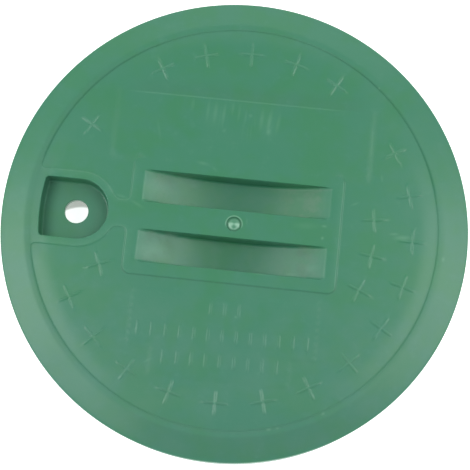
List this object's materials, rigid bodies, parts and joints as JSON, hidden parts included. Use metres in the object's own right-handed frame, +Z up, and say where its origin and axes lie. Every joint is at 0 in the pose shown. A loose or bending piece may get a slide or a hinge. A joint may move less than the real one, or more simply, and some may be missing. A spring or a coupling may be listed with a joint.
{
  "type": "valve box cover",
  "caption": "Round green drop-over cover for a ground valve box, with a recessed lifting bar between two finger scoops, a bolt pocket and raised grip crosses.",
  "frame": {"origin": "centre of the plane that the skirt's foot stands on", "axes": "+Z up through the top plate, +X along the lifting bar away from the bolt pocket, +Y across the bar"},
  "size_m": [0.27, 0.27, 0.032],
  "materials": {
    "green_plastic": "satin injection-moulded polyolefin, faintly mottled"
  },
  "bodies": {
    "root": {"cover": "green_plastic"}
  },
  "joints": []
}
